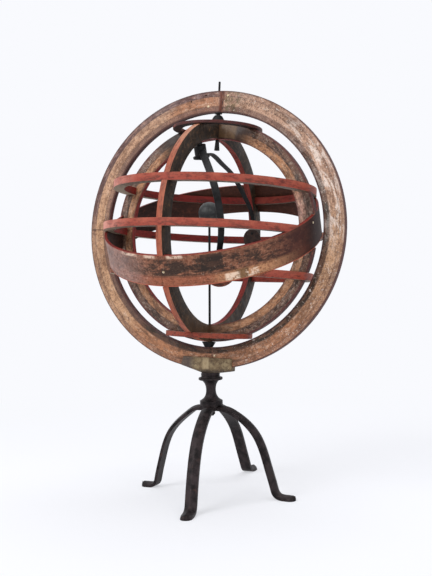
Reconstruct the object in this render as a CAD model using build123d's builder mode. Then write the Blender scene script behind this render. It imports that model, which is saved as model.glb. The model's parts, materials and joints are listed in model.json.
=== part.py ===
from build123d import *
import os
from math import cos, radians, sin, sqrt

# Armillary sphere of pasteboard rings on a forged four-legged stand.
# Millimetres, +Z up. The origin is on the table, under the middle of the whole.
# The front faces -Y. X runs along the meridian ring, from left to right.
os.makedirs("parts", exist_ok=True)

# Stand, with the place of the pillar's axis, which is off the middle because the ring leans
pillar_x = -1.715
pillar_y = -7.845
leg_width = 11.5
leg_thickness = 5.0
leg_ridge_width = 2.4
leg_shoulder_drop = 2.0
crossing_height = 88.0
crossing_flat = 12.0
lap_radius = 10.0
foot_flat = 11.0
tang_radius = 2.4
tang_nut_radius = 3.5
tang_nut_height = 4.5
tang_end = 1.2
tang_chamfer = 0.5
tang_nut_chamfer = 0.6
fixed_fit = 0.02

# Each leg: the angle of its plane about the pillar, the reach and height of its shoulder,
# knee, shin and ankle along the middle of the iron, and the reach of its toe
left_leg_angle = 178.6
left_leg_bends = [(24.5, 80.5), (48.2, 58.5), (59.5, 30.0), (65.0, 9.5)]
left_leg_toe = 83.0
right_leg_angle = -6.8
right_leg_bends = [(27.0, 81.5), (50.5, 62.5), (64.0, 29.0), (69.5, 10.5)]
right_leg_toe = 91.0
front_leg_angle = -80.2
front_leg_bends = [(28.0, 81.5), (57.0, 62.5), (78.0, 29.0), (85.0, 10.5)]
front_leg_toe = 107.0
back_leg_angle = 89.9
back_leg_bends = [(28.0, 80.5), (58.0, 56.5), (76.0, 26.0), (84.5, 10.0)]
back_leg_toe = 107.0

# Turned pillar
flange_radius = 11.45
flange_height = 4.6
waist_radius = 4.9
waist_height = 16.0
bell_radius = 9.4
bell_height = 25.4
collar_radius = 12.1
collar_height = 2.6
collar_rounding = 0.9
cap_radius = 9.6
cap_height = 3.8
cap_groove = 0.45

# Meridian ring and its lean, with the places of its two lap seams
ring_radius = 140.0
ring_width = 21.7
ring_thickness = 6.0
lean_side_angle = 2.55
lean_back_angle = 4.5
ring_shift = -4.5
front_seam = 7.2
back_seam = -16.0

# Saddle that holds the ring
saddle_thickness = 4.0
saddle_left = 26.0
saddle_right = 29.5
saddle_cover = 11.5
cheek_thickness = 2.2
pad_height = 1.4
pad_inset = 0.6

# Nails and open nail holes of the meridian, by angle from its top and inset from its rim
nail_radius = 0.8
nail_head_radius = 1.3
nail_head_height = 0.5
ring_nail_angles = [5.47, -3.81, 175.53]
ring_nail_insets = [4.6, 15.2, 13.1]
open_hole_angles = [-4.84, -12.09]
open_hole_insets = [3.7, 6.7]

# Polar axis, set off from the ring's centre
axis_shift = 1.7
axis_drop = 2.4
pin_radius = 1.1
pin_top = 10.0
pin_rounding = 0.5
running_fit = 0.08
end_play = 0.3
bead_radius = 6.7
bead_height = 7.6
bead_shoulder_share = 0.72
bead_neck_radius = 1.9
bead_washer_radius = 3.8
bead_washer_height = 1.2
peg_gap = 0.4
peg_length = 10.5
peg_top_radius = 1.8
peg_bottom_radius = 2.75
knob_top_radius = 7.0
knob_foot_radius = 3.6
rod_radius = 1.2
rod_root = 14.0
rod_end_gap = 0.5
rod_bend_radius = 30.0
rod_clear = 2.5

# Earth
earth_radius = 11.1
earth_height = 19.2
earth_offset = 5.4
earth_socket = 8.0

# Celestial sphere, clear of the meridian
sphere_turn_angle = -2.2
sphere_clearance = 7.9
colure_width = 17.0
colure_thickness = 6.0
parallel_thickness = 7.4
parallel_width = 10.7
tropic_angle = 22.586
arctic_angle = 65.83
arctic_sink = 8.3
arctic_thickness = 2.9
antarctic_angle = 66.8
antarctic_sink = 9.8
antarctic_thickness = 5.0
polar_ring_width = 9.0

# Ecliptic band, let into the colures
obliquity_angle = 24.9
band_inset = 2.4
band_thickness = 2.6
band_height = 30.7
band_rise = 1.0
band_seam_angle = -91.6
band_seam_gap = 0.4
band_nail_length = 9.0
band_nail_angles = [-90.0, 90.0, 0.0, 180.0]
band_nail_heights = [-1.0, 0.0, 9.0, 9.0]

# Sun and moon arms, turning on a pin in the solstitial colure
pivot_radius = 1.5
pivot_root = 7.0
pivot_collar_radius = 2.7
pivot_collar_height = 3.2
pivot_collar_gap = 0.1
sun_hub_radius = 6.0
sun_hub_height = 11.0
sun_arm_gap = 13.4
sun_arm_thickness = 1.6
sun_arm_root_width = 7.2
sun_arm_tail_width = 4.6
sun_arm_start = 2.0
sun_arm_sink = 1.5
sun_arm_angle = -54.0
sun_arm_sway_angle = -7.8
sun_arm_shoulder_angle = 20.0
sun_arm_bend_angle = 90.0
sun_disc_radius = 15.0
moon_eye_radius = 8.2
moon_arm_gap = 8.0
moon_arm_thickness = 1.4
moon_arm_root_width = 5.6
moon_arm_tail_width = 4.4
moon_arm_start = 7.0
moon_arm_angle = 88.5
moon_arm_sway_angle = -8.0
moon_arm_shoulder_angle = 34.0
moon_arm_bend_angle = 104.0
moon_disc_radius = 10.8
disc_thickness = 1.2
disc_drop = 14.5
arm_tail = 12.0
rivet_drop = 8.5
rivet_radius = 0.9
rivet_head_radius = 1.5
rivet_head_height = 0.6
disc_lift = 0.1
washer_radius = 3.2
washer_height = 1.2
pivot_tip = 0.6

# Extra length of what is then cut back to a curved face
overcut = 1.0

# Worked out from the sizes above
crossing_middle = crossing_height - leg_thickness / 2
pillar_height = bell_height + collar_height + cap_height
pillar_top = crossing_height + pillar_height
bed_radius = ring_radius + saddle_thickness
ring_inner = ring_radius - ring_width
lean_cosine = cos(radians(lean_back_angle)) * cos(radians(lean_side_angle))
ring_height = pillar_top + pad_height / 2 + bed_radius * lean_cosine
ring_x = pillar_x + ring_shift + ring_radius * sin(radians(lean_side_angle))
ring_y = pillar_y + ring_radius * sin(radians(lean_back_angle)) * cos(radians(lean_side_angle))
sphere_radius = ring_inner - sphere_clearance
colure_inner = sphere_radius - colure_width
colure_middle = sphere_radius - colure_width / 2
tropic_height = sphere_radius * sin(radians(tropic_angle))
tropic_radius = sphere_radius * cos(radians(tropic_angle))
arctic_radius = sphere_radius * cos(radians(arctic_angle))
arctic_height = sphere_radius - arctic_sink
antarctic_radius = sphere_radius * cos(radians(antarctic_angle))
antarctic_height = sphere_radius - antarctic_sink
band_radius = sphere_radius - band_inset
band_inner = band_radius - band_thickness
sun_arm_radius = colure_inner - sun_arm_gap
moon_arm_radius = sun_arm_radius - moon_arm_gap
north_inside = sqrt(ring_inner**2 - axis_shift**2) + axis_drop
south_inside = sqrt(ring_inner**2 - axis_shift**2) - axis_drop
north_outside = sqrt(ring_radius**2 - axis_shift**2) + axis_drop
peg_top = colure_inner - peg_gap
beyond = 1.5 * ring_radius


def on_arc(radius, angle):
    """Point on an arc, by its angle from the top."""
    return radius * sin(radians(angle)), radius * cos(radians(angle))


def turned(frame, angle):
    """Frame turned about its own Z axis."""
    x_dir = frame.x_dir.rotate(Axis((0, 0, 0), frame.z_dir), angle)
    return Plane(origin=frame.origin, x_dir=x_dir, z_dir=frame.z_dir)


def tilted(frame, angle):
    """Frame tilted about its own X axis."""
    z_dir = frame.z_dir.rotate(Axis((0, 0, 0), frame.x_dir), angle)
    return Plane(origin=frame.origin, x_dir=frame.x_dir, z_dir=z_dir)


def upright(frame, angle=0):
    """Plane through the frame's own Z axis, turned by an angle about it."""
    side = turned(frame, angle)
    return Plane(origin=frame.origin, x_dir=side.x_dir, z_dir=-side.y_dir)


def outward(frame, angle, height=0):
    """Plane facing away from the frame's Z axis, with its own Y along that axis."""
    side = upright(frame.offset(height), angle)
    return Plane(origin=side.origin, x_dir=-side.z_dir, z_dir=side.x_dir)


def save(piece, name):
    piece.part.label = name
    export_step(piece.part, f"parts/{name}.step")


# Frames: the stand is upright, the meridian leans, the sphere turns on its polar axis
base = Plane(origin=(pillar_x, pillar_y, 0))
meridian = Plane(origin=(ring_x, ring_y, ring_height)).rotated((-lean_back_angle, lean_side_angle, 0))
pole_point = meridian.from_local_coords((axis_shift, 0, -axis_drop))
polar = Plane(origin=pole_point, x_dir=meridian.x_dir, z_dir=meridian.z_dir)
celestial = turned(polar, sphere_turn_angle)
ecliptic = tilted(celestial, obliquity_angle)
ring_face = upright(meridian)
equinoctial = upright(celestial)
solstitial = upright(celestial, 90)
ring_nails = [
    on_arc(ring_radius - inset, angle) for angle, inset in zip(ring_nail_angles, ring_nail_insets)
]
open_holes = [
    on_arc(ring_radius - inset, angle) for angle, inset in zip(open_hole_angles, open_hole_insets)
]


# Forged legs: two straps, halved into each other under the pillar
def leg(angle, bends, toe):
    """One leg of ridged bar, from the crossing out to its toe."""
    sole = leg_thickness / 2
    with BuildLine() as route:
        flat = Line((-overcut, crossing_middle), (crossing_flat, crossing_middle))
        heel = (toe - foot_flat, sole)
        drop = Spline(flat @ 1, *bends, heel, tangents=[(1, 0), (1, -0.05)])
        Line(drop @ 1, (toe, sole))
    path = upright(base, angle).from_local_coords(route.wire())
    with BuildSketch(outward(base, angle, crossing_middle).offset(-overcut)) as outline:
        with BuildLine():
            half = leg_width / 2
            top = leg_thickness / 2
            edge = top - leg_shoulder_drop
            ridge = leg_ridge_width / 2
            Polyline(
                (-half, -top), (half, -top), (half, edge), (ridge, top),
                (-ridge, top), (-half, edge), close=True,
            )
        make_face()
    sweep(outline.sketch, path=path)
    with BuildSketch(turned(base, angle)) as corners:
        with Locations((toe - half, 0)):
            Rectangle(leg_width, 2 * leg_width, align=(Align.MIN, Align.CENTER))
            Circle(half, mode=Mode.SUBTRACT)
    extrude(corners.sketch, amount=2 * leg_thickness, mode=Mode.SUBTRACT)


def tang_hole(bottom, height):
    with BuildSketch(base.offset(bottom)) as outline:
        Circle(tang_radius + fixed_fit)
    extrude(outline.sketch, amount=height, mode=Mode.SUBTRACT)


def lap(keep, lose):
    """Cut away half of the crossing, from height lose, and leave an eye from height keep."""
    with BuildSketch(base.offset(lose)) as outline:
        Circle(lap_radius)
    extrude(outline.sketch, amount=leg_thickness / 2, mode=Mode.SUBTRACT)
    with BuildSketch(base.offset(keep)) as outline:
        Circle(lap_radius)
    extrude(outline.sketch, amount=leg_thickness / 2)
    tang_hole(crossing_height - leg_thickness, leg_thickness)


with BuildPart() as side_legs:
    leg(left_leg_angle, left_leg_bends, left_leg_toe)
    leg(right_leg_angle, right_leg_bends, right_leg_toe)
    lap(crossing_middle, crossing_middle - leg_thickness / 2)
save(side_legs, "side_legs")

with BuildPart() as fore_legs:
    leg(front_leg_angle, front_leg_bends, front_leg_toe)
    leg(back_leg_angle, back_leg_bends, back_leg_toe)
    lap(crossing_middle - leg_thickness / 2, crossing_middle)
save(fore_legs, "fore_legs")

# Turned pillar: flange, waist, bell, collar and grooved cap
with BuildPart() as pillar:
    with BuildSketch(upright(base)):
        with BuildLine():
            foot = crossing_height
            waist = foot + waist_height
            bell = foot + bell_height
            collar = bell + collar_height
            bore = tang_radius + fixed_fit
            Polyline((bore, foot), (flange_radius, foot), (flange_radius, foot + flange_height))
            Spline(
                (flange_radius, foot + flange_height), (waist_radius, waist),
                (bell_radius, bell), tangents=[(-1, 0.45), (1, 0.75)],
            )
            Polyline(
                (bell_radius, bell), (collar_radius, bell), (collar_radius, collar),
                (cap_radius, collar), (cap_radius, pillar_top), (bore, pillar_top), (bore, foot),
            )
        make_face()
    revolve(axis=Axis(base.origin, base.z_dir))
    fillet(pillar.edges().filter_by(GeomType.CIRCLE).group_by(SortBy.RADIUS)[-1], collar_rounding)
    for groove in (1, 2):
        with BuildSketch(upright(base)):
            with Locations((cap_radius, collar + groove * cap_height / 3)):
                Circle(cap_groove)
        revolve(axis=Axis(base.origin, base.z_dir), mode=Mode.SUBTRACT)
save(pillar, "pillar")

# Tang from the saddle down through pillar and legs, with its nut
tang_top = pillar_top + saddle_thickness / 2 + pad_height / 2
nut_top = crossing_height - leg_thickness
nut_bottom = nut_top - tang_nut_height
with BuildPart() as tang:
    with BuildSketch(base.offset(nut_bottom - tang_end)):
        Circle(tang_radius)
    extrude(amount=tang_top - nut_bottom + tang_end)
    chamfer(tang.faces().sort_by(Axis.Z)[0].edges(), tang_chamfer)
save(tang, "tang")

with BuildPart() as tang_nut:
    with BuildSketch(base.offset(nut_bottom)):
        Circle(tang_nut_radius)
        Circle(tang_radius + fixed_fit, mode=Mode.SUBTRACT)
    extrude(amount=tang_nut_height)
    chamfer(tang_nut.faces().sort_by(Axis.Z)[0].edges().sort_by(SortBy.RADIUS)[-1], tang_nut_chamfer)
save(tang_nut, "tang_nut")


# Saddle: a bed under the ring between two cheeks, on a pad that takes up the lean
def saddle_slice(offset, depth):
    """Slice of the saddle: a round with straight ends and a straight top."""
    with BuildSketch(ring_face.offset(offset)) as outline:
        Circle(bed_radius)
        with Locations(((saddle_right - saddle_left) / 2, -bed_radius)):
            height = 2 * (saddle_thickness + saddle_cover)
            Rectangle(saddle_left + saddle_right, height, mode=Mode.INTERSECT)
    extrude(outline.sketch, amount=depth)


with BuildPart() as saddle_bed:
    saddle_slice(-ring_thickness / 2, ring_thickness)
    with BuildSketch(ring_face.offset(-ring_thickness)):
        Circle(ring_radius)
    extrude(amount=2 * ring_thickness, mode=Mode.SUBTRACT)
    tang_hole(crossing_height, tang_top - crossing_height)
save(saddle_bed, "saddle_bed")

with BuildPart() as saddle_cheek_front:
    saddle_slice(ring_thickness / 2, cheek_thickness)
save(saddle_cheek_front, "saddle_cheek_front")

with BuildPart() as saddle_cheek_back:
    saddle_slice(-ring_thickness / 2, -cheek_thickness)
save(saddle_cheek_back, "saddle_cheek_back")

with BuildPart() as saddle_pad:
    with BuildSketch(base.offset(pillar_top)):
        Circle(cap_radius - pad_inset)
        Circle(tang_radius + fixed_fit, mode=Mode.SUBTRACT)
    extrude(amount=saddle_thickness)
    with BuildSketch(ring_face.offset(-ring_radius / 2)):
        Circle(bed_radius)
    extrude(amount=ring_radius, mode=Mode.SUBTRACT)
save(saddle_pad, "saddle_pad")


# Meridian ring in two halves, halved over each other top and bottom and nailed
def drill_ring():
    """Polar bores, nails and open nail holes through the meridian."""
    with BuildSketch(polar.offset(colure_middle)) as outline:
        Circle(pin_radius + fixed_fit)
    extrude(outline.sketch, amount=beyond, mode=Mode.SUBTRACT)
    with BuildSketch(polar.offset(-south_inside - rod_root)) as outline:
        Circle(rod_radius + fixed_fit)
    extrude(outline.sketch, amount=ring_width, mode=Mode.SUBTRACT)
    with BuildSketch(ring_face.offset(-ring_thickness)) as outline:
        with Locations(*ring_nails, *open_holes):
            Circle(nail_radius)
    extrude(outline.sketch, amount=2 * ring_thickness, mode=Mode.SUBTRACT)


def half_meridian(side):
    """Left half for side 1, right half for side -1: each keeps one half of both laps."""
    begin = Align.MIN if side > 0 else Align.MAX
    with BuildSketch(ring_face.offset(-ring_thickness / 2)) as outline:
        Circle(ring_radius)
        Circle(ring_inner, mode=Mode.SUBTRACT)
    extrude(outline.sketch, amount=ring_thickness)
    for plane, seam in ((ring_face, front_seam), (ring_face.offset(-ring_thickness / 2), back_seam)):
        with BuildSketch(plane) as outline:
            with Locations((seam, 0)):
                Rectangle(beyond, 2 * beyond, align=(begin, Align.CENTER))
        extrude(outline.sketch, amount=ring_thickness / 2, mode=Mode.SUBTRACT)
    drill_ring()


with BuildPart() as meridian_left:
    half_meridian(1)
save(meridian_left, "meridian_left")

with BuildPart() as meridian_right:
    half_meridian(-1)
save(meridian_right, "meridian_right")

with BuildPart() as meridian_nails:
    with BuildSketch(ring_face.offset(-ring_thickness / 2)):
        with Locations(*ring_nails):
            Circle(nail_radius)
    extrude(amount=ring_thickness)
    with BuildSketch(ring_face.offset(ring_thickness / 2)):
        with Locations(*ring_nails):
            Circle(nail_head_radius)
    extrude(amount=nail_head_height, taper=30)
save(meridian_nails, "meridian_nails")

# North pole: pin through the ring, bead above the sphere, peg under it
with BuildPart() as north_pin:
    with BuildSketch(polar.offset(peg_top - peg_length)):
        Circle(pin_radius)
    extrude(amount=north_outside + pin_top - peg_top + peg_length)
    fillet(north_pin.edges().group_by(Axis.Z)[-1], pin_rounding)
save(north_pin, "north_pin")

bead_bottom = sphere_radius + end_play
with BuildPart() as north_bead:
    with BuildSketch(upright(polar)):
        with BuildLine():
            neck = bead_bottom + bead_height
            shoulder = bead_bottom + bead_height * bead_shoulder_share
            Polyline((0, neck), (0, bead_bottom), (bead_radius, bead_bottom))
            Spline(
                (bead_radius, bead_bottom), (bead_radius * bead_shoulder_share, shoulder),
                (bead_neck_radius, neck), tangents=[(0, 1), (-1, 0.1)],
            )
            Polyline((bead_neck_radius, neck), (0, neck))
        make_face()
    revolve(axis=Axis(polar.origin, polar.z_dir))
    with BuildSketch(polar.offset(neck)):
        Circle(bead_neck_radius)
    extrude(amount=ring_width)
    with BuildSketch(polar.offset(north_inside - bead_washer_height)):
        Circle(bead_washer_radius)
    extrude(amount=ring_width)
    with BuildSketch(polar.offset(bead_bottom)):
        Circle(pin_radius + fixed_fit)
    extrude(amount=beyond, mode=Mode.SUBTRACT)
    with BuildSketch(ring_face.offset(-ring_radius / 2)):
        Circle(ring_inner)
    extrude(amount=ring_radius, mode=Mode.INTERSECT)
save(north_bead, "north_bead")

with BuildPart() as north_peg:
    with BuildSketch(polar.offset(peg_top)):
        Circle(peg_top_radius)
    with BuildSketch(polar.offset(peg_top - peg_length)):
        Circle(peg_bottom_radius)
    loft()
    with BuildSketch(polar.offset(peg_top - peg_length)):
        Circle(pin_radius + fixed_fit)
    extrude(amount=peg_length, mode=Mode.SUBTRACT)
save(north_peg, "north_peg")

# South pole: knob under the sphere, rod up to the earth
with BuildPart() as south_knob:
    with BuildSketch(polar.offset(-sphere_radius - end_play)):
        Circle(knob_top_radius)
    with BuildSketch(polar.offset(-south_inside - overcut)):
        Circle(knob_foot_radius)
    loft()
    with BuildSketch(polar.offset(-south_inside - 2 * overcut)):
        Circle(rod_radius + fixed_fit)
    extrude(amount=beyond, mode=Mode.SUBTRACT)
    with BuildSketch(ring_face.offset(-ring_radius / 2)):
        Circle(ring_inner)
    extrude(amount=ring_radius, mode=Mode.INTERSECT)
save(south_knob, "south_knob")

# The rod stands in the ring, runs straight through the sphere's south pole and then leans
rod_foot = (0, -south_inside - rod_root + rod_end_gap)
rod_kink = (0, -colure_inner + rod_clear)
earth_middle = (-earth_offset, earth_height)
lean_x = earth_middle[0] - rod_kink[0]
lean_y = earth_middle[1] - rod_kink[1]
lean_length = sqrt(lean_x**2 + lean_y**2)
reach = 1 - (earth_radius - earth_socket) / lean_length
rod_tip = (rod_kink[0] + reach * lean_x, rod_kink[1] + reach * lean_y)
with BuildPart() as earth_rod:
    with BuildLine(upright(polar)) as rod_route:
        FilletPolyline(rod_foot, rod_kink, rod_tip, radius=rod_bend_radius)
    with BuildSketch(Plane(origin=rod_route.wire() @ 0, z_dir=rod_route.wire() % 0)):
        Circle(rod_radius)
    sweep(path=rod_route.wire())
save(earth_rod, "earth_rod")

with BuildPart() as earth_ball:
    with BuildSketch(upright(polar)):
        with Locations(earth_middle):
            Circle(earth_radius)
        with Locations(earth_middle):
            Rectangle(earth_radius, 2 * earth_radius, align=(Align.MAX, Align.CENTER), mode=Mode.SUBTRACT)
    revolve(axis=Axis(upright(polar).from_local_coords(earth_middle + (0,)), polar.z_dir))
    with BuildSketch(Plane(origin=rod_route.wire() @ 1, z_dir=-(rod_route.wire() % 1))):
        Circle(rod_radius + fixed_fit)
    extrude(amount=2 * earth_radius, mode=Mode.SUBTRACT)
save(earth_ball, "earth_ball")


# Rings of the sphere
def band_zone(inner, outer, right_only=False):
    """Cut the room that the ecliptic band takes, between two radii."""
    with BuildSketch(ecliptic.offset(band_rise - band_height / 2)) as outline:
        Circle(outer)
        Circle(inner, mode=Mode.SUBTRACT)
        if right_only:
            Rectangle(beyond, 2 * beyond, align=(Align.MIN, Align.CENTER), mode=Mode.INTERSECT)
    extrude(outline.sketch, amount=band_height, mode=Mode.SUBTRACT)


def band_nail_holes():
    for angle, height in zip(band_nail_angles, band_nail_heights):
        face = outward(ecliptic, angle, band_rise + height)
        with BuildSketch(face.offset(band_radius - band_nail_length)) as outline:
            Circle(nail_radius)
        extrude(outline.sketch, amount=2 * band_nail_length, mode=Mode.SUBTRACT)


def parallel_notch(radius, bottom, thickness):
    """Room in a colure for a ring parallel to the equator."""
    with BuildSketch(celestial.offset(bottom)) as outline:
        Circle(beyond)
        Circle(radius, mode=Mode.SUBTRACT)
    extrude(outline.sketch, amount=thickness, mode=Mode.SUBTRACT)


def colure(plane, keeps_inside):
    """Ring through both poles, halved there over the other colure."""
    with BuildSketch(plane.offset(-colure_thickness / 2)) as outline:
        Circle(sphere_radius)
        Circle(colure_inner, mode=Mode.SUBTRACT)
    extrude(outline.sketch, amount=colure_thickness)
    with BuildSketch(plane.offset(-colure_thickness / 2)) as outline:
        if keeps_inside:
            Rectangle(colure_thickness, 2 * beyond)
            Rectangle(colure_thickness, 2 * colure_middle, mode=Mode.SUBTRACT)
        else:
            Rectangle(colure_thickness, 2 * colure_middle)
    extrude(outline.sketch, amount=colure_thickness, mode=Mode.SUBTRACT)
    half = parallel_thickness / 2
    parallel_notch(sphere_radius - parallel_width / 2, -half, 2 * half)
    for height in (tropic_height, -tropic_height):
        parallel_notch(tropic_radius - parallel_width / 2, height - half, 2 * half)
    parallel_notch(arctic_radius - polar_ring_width, arctic_height, beyond)
    parallel_notch(antarctic_radius - polar_ring_width, -antarctic_height, -beyond)
    band_zone(band_inner, beyond)
    band_nail_holes()
    for pole, bore in ((beyond, pin_radius), (-beyond, rod_radius)):
        with BuildSketch(celestial) as outline:
            Circle(bore + running_fit)
        extrude(outline.sketch, amount=pole, mode=Mode.SUBTRACT)


with BuildPart() as equinoctial_colure:
    colure(equinoctial, True)
save(equinoctial_colure, "equinoctial_colure")

with BuildPart() as solstitial_colure:
    colure(solstitial, False)
    with BuildSketch(ecliptic.offset(colure_inner - end_play)):
        Circle(pivot_radius + fixed_fit)
    extrude(amount=pivot_root + end_play, mode=Mode.SUBTRACT)
save(solstitial_colure, "solstitial_colure")


def parallel(height, radius):
    """Ring parallel to the equator, halved over both colures."""
    with BuildSketch(celestial.offset(height - parallel_thickness / 2)) as outline:
        Circle(radius)
        Circle(radius - parallel_width, mode=Mode.SUBTRACT)
        Rectangle(2 * radius - parallel_width, colure_thickness, mode=Mode.SUBTRACT)
        Rectangle(colure_thickness, 2 * radius - parallel_width, mode=Mode.SUBTRACT)
    extrude(outline.sketch, amount=parallel_thickness)


with BuildPart() as equator:
    parallel(0, sphere_radius)
    band_zone(band_inner, band_radius)
    band_zone(band_inner, beyond, right_only=True)
    band_nail_holes()
save(equator, "equator")

with BuildPart() as tropic_of_cancer:
    parallel(tropic_height, tropic_radius)
    band_zone(band_inner, beyond)
save(tropic_of_cancer, "tropic_of_cancer")

with BuildPart() as tropic_of_capricorn:
    parallel(-tropic_height, tropic_radius)
    band_zone(band_inner, beyond)
save(tropic_of_capricorn, "tropic_of_capricorn")

with BuildPart() as arctic_ring:
    with BuildSketch(celestial.offset(arctic_height)):
        Circle(arctic_radius)
        Circle(arctic_radius - polar_ring_width, mode=Mode.SUBTRACT)
    extrude(amount=arctic_thickness)
save(arctic_ring, "arctic_ring")

with BuildPart() as antarctic_ring:
    with BuildSketch(celestial.offset(-antarctic_height)):
        Circle(antarctic_radius)
        Circle(antarctic_radius - polar_ring_width, mode=Mode.SUBTRACT)
    extrude(amount=-antarctic_thickness)
save(antarctic_ring, "antarctic_ring")

# Ecliptic band, one bent strip whose ends meet beside the front of the solstitial colure
with BuildPart() as ecliptic_band:
    with BuildSketch(ecliptic.offset(band_rise - band_height / 2)):
        Circle(band_radius)
        Circle(band_inner, mode=Mode.SUBTRACT)
    extrude(amount=band_height)
    with BuildSketch(outward(ecliptic, band_seam_angle)):
        Rectangle(band_seam_gap, beyond)
    extrude(amount=beyond, mode=Mode.SUBTRACT)
    band_nail_holes()
save(ecliptic_band, "ecliptic_band")

with BuildPart() as ecliptic_nails:
    for angle, height in zip(band_nail_angles, band_nail_heights):
        face = outward(ecliptic, angle, band_rise + height)
        with BuildSketch(face.offset(band_radius - band_nail_length)):
            Circle(nail_radius)
        extrude(amount=band_nail_length)
        with BuildSketch(face.offset(band_radius)):
            Circle(nail_head_radius)
        extrude(amount=nail_head_height, taper=30)
save(ecliptic_nails, "ecliptic_nails")

# Pivot of the arms: pin with a collar against the colure, washer riveted on its tip
hub_top = colure_inner - pivot_collar_height - end_play
hub_bottom = hub_top - sun_hub_height
eye_top = hub_bottom - end_play
eye_bottom = eye_top - moon_arm_thickness
washer_top = eye_bottom - end_play
washer_bottom = washer_top - washer_height
with BuildPart() as pivot_pin:
    with BuildSketch(ecliptic.offset(washer_bottom - pivot_tip)):
        Circle(pivot_radius)
    extrude(amount=colure_inner + pivot_root - washer_bottom + pivot_tip)
    with BuildSketch(ecliptic.offset(colure_inner - pivot_collar_height)):
        Circle(pivot_collar_radius)
    extrude(amount=pivot_collar_height - pivot_collar_gap)
save(pivot_pin, "pivot_pin")

with BuildPart() as pivot_washer:
    with BuildSketch(ecliptic.offset(washer_bottom)):
        Circle(washer_radius)
        Circle(pivot_radius + fixed_fit, mode=Mode.SUBTRACT)
    extrude(amount=washer_height)
save(pivot_washer, "pivot_washer")


# Arms: a strap bent to a round and then straight down to its disc, and swaying to one side
def arm_point(radius, bend, down):
    """Reach and height of a point on the straight tail, a distance down from the bend."""
    reach, height = on_arc(radius, bend)
    return reach + down * cos(radians(bend)), height - down * sin(radians(bend))


def disc_plane(radius, bend, turn, thickness):
    """Plane on the inner face of a strap's straight tail, facing in, at the disc's middle."""
    side = upright(ecliptic, turn)
    reach, height = arm_point(radius - thickness / 2 - disc_lift, bend, disc_drop)
    out_reach, out_height = on_arc(1, bend)
    middle = side.from_local_coords((reach, height, 0))
    out = side.from_local_coords((reach + out_reach, height + out_height, 0)) - middle
    return Plane(origin=middle, x_dir=side.z_dir, z_dir=-out)


def strap(start, heading, radius, first_angle, bend, turn, sway, thickness, widths):
    """Strap from its start by the hub along the round and down its tail, tapering."""
    side = upright(ecliptic, turn)
    steps = [first_angle + (bend - first_angle) * i / 4 for i in range(5)]
    with BuildSketch(side) as shell:
        with BuildLine():
            arc = [on_arc(radius, angle) for angle in steps]
            round_part = Spline(start, *arc, tangents=[heading, on_arc(1, bend + 90)])
            Line(round_part @ 1, arm_point(radius, bend, arm_tail))
        trace(line_width=thickness)
        Rectangle(beyond, 2 * beyond, align=(Align.MIN, Align.CENTER), mode=Mode.INTERSECT)
    revolve(shell.sketch, axis=Axis(ecliptic.origin, ecliptic.z_dir))
    reach, tail = arm_point(radius, bend, arm_tail)
    swayed = reach * sin(radians(sway))
    rows = [
        (0, sphere_radius), (0, radius * 0.6), (swayed * 0.3, radius * 0.3),
        (swayed * 0.9, 0), (swayed, tail - overcut),
    ]
    half = [(widths[0] + (widths[1] - widths[0]) * i / 4) / 2 for i in range(5)]
    with BuildSketch(outward(ecliptic, turn)) as ribbon:
        with BuildLine():
            right = Spline(*[(x + w, y) for (x, y), w in zip(rows, half)])
            left = Spline(*[(x - w, y) for (x, y), w in zip(rows, half)])
            Line(right @ 0, left @ 0)
            Line(right @ 1, left @ 1)
        make_face()
    extrude(ribbon.sketch, amount=beyond, mode=Mode.INTERSECT)


def disc_rivet_holes(place):
    with BuildSketch(place.offset(-rivet_drop)) as outline:
        with Locations((0, disc_drop - rivet_drop)):
            Circle(rivet_radius)
    extrude(outline.sketch, amount=2 * rivet_drop, mode=Mode.SUBTRACT)


def disc(place, radius):
    with BuildSketch(place) as outline:
        Circle(radius)
    extrude(outline.sketch, amount=disc_thickness)
    disc_rivet_holes(place)


def rivet(place, thickness):
    """Rivet through disc and strap, with a head on each side."""
    spot = (0, disc_drop - rivet_drop)
    with BuildSketch(place.offset(-thickness)) as outline:
        with Locations(spot):
            Circle(rivet_radius)
    extrude(outline.sketch, amount=thickness + disc_thickness)
    for bottom in (-thickness - rivet_head_height, disc_thickness):
        with BuildSketch(place.offset(bottom)) as outline:
            with Locations(spot):
                Circle(rivet_head_radius)
        extrude(outline.sketch, amount=rivet_head_height)


def pivot_hole(bottom, height):
    with BuildSketch(ecliptic.offset(bottom)) as outline:
        Circle(pivot_radius + running_fit)
    extrude(outline.sketch, amount=height, mode=Mode.SUBTRACT)


sun_place = disc_plane(
    sun_arm_radius, sun_arm_bend_angle, sun_arm_angle + sun_arm_sway_angle, sun_arm_thickness,
)
moon_place = disc_plane(
    moon_arm_radius, moon_arm_bend_angle, moon_arm_angle + moon_arm_sway_angle, moon_arm_thickness,
)

with BuildPart() as sun_arm:
    strap(
        (sun_arm_start, hub_top - sun_arm_sink), (0.8, -0.6), sun_arm_radius,
        sun_arm_shoulder_angle, sun_arm_bend_angle, sun_arm_angle, sun_arm_sway_angle,
        sun_arm_thickness, (sun_arm_root_width, sun_arm_tail_width),
    )
    disc_rivet_holes(sun_place)
    with BuildSketch(ecliptic.offset(hub_bottom)):
        Circle(sun_hub_radius)
    extrude(amount=sun_hub_height)
    pivot_hole(hub_bottom, sun_hub_height)
save(sun_arm, "sun_arm")

eye_middle = eye_top - moon_arm_thickness / 2
with BuildPart() as moon_arm:
    strap(
        (moon_arm_start, eye_middle), (1, 0), moon_arm_radius,
        moon_arm_shoulder_angle, moon_arm_bend_angle, moon_arm_angle, moon_arm_sway_angle,
        moon_arm_thickness, (moon_arm_root_width, moon_arm_tail_width),
    )
    disc_rivet_holes(moon_place)
    with BuildSketch(ecliptic.offset(eye_bottom)):
        Circle(moon_eye_radius)
    extrude(amount=moon_arm_thickness)
    pivot_hole(eye_bottom, moon_arm_thickness)
save(moon_arm, "moon_arm")

with BuildPart() as sun_disc:
    disc(sun_place, sun_disc_radius)
save(sun_disc, "sun_disc")

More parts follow.
